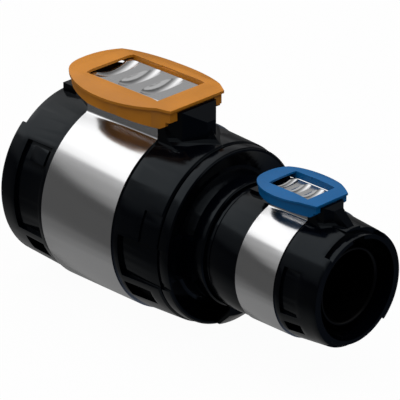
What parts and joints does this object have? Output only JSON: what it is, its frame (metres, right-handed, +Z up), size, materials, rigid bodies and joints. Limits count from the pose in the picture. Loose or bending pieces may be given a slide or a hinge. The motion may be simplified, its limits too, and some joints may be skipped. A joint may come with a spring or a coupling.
{
  "type": "pipe reducer",
  "caption": "Clamp-type reducer that joins a wide plastic pipe to a narrower one: black collars with steel bands and coloured clips on top of the band crowns.",
  "frame": {"origin": "centre of the large mouth, on the pipe axis, at the end of the guide land", "axes": "+X along the pipe axis towards the small mouth, +Z up through the band crowns and clips"},
  "size_m": [0.162, 0.078, 0.0931],
  "materials": {
    "black_plastic": "satin black moulding",
    "steel": "bright rolled sheet",
    "orange_plastic": "satin",
    "blue_plastic": "satin",
    "sleeve_plastic": "matt",
    "grip_plastic": "matt acetal",
    "rubber": "matt"
  },
  "bodies": {
    "root": {"reducer_body": "black_plastic", "large_clamp_shell": "black_plastic", "small_clamp_shell": "black_plastic", "large_press_band": "steel", "small_press_band": "steel", "large_clip": "orange_plastic", "small_clip": "blue_plastic", "large_support_sleeve": "sleeve_plastic", "small_support_sleeve": "sleeve_plastic", "large_grip_ring": "grip_plastic", "small_grip_ring": "grip_plastic", "large_backing_ring": "black_plastic", "small_backing_ring": "black_plastic", "large_seal": "rubber", "small_seal": "rubber", "large_sleeve_ring": "rubber", "small_sleeve_ring": "rubber"}
  },
  "joints": []
}
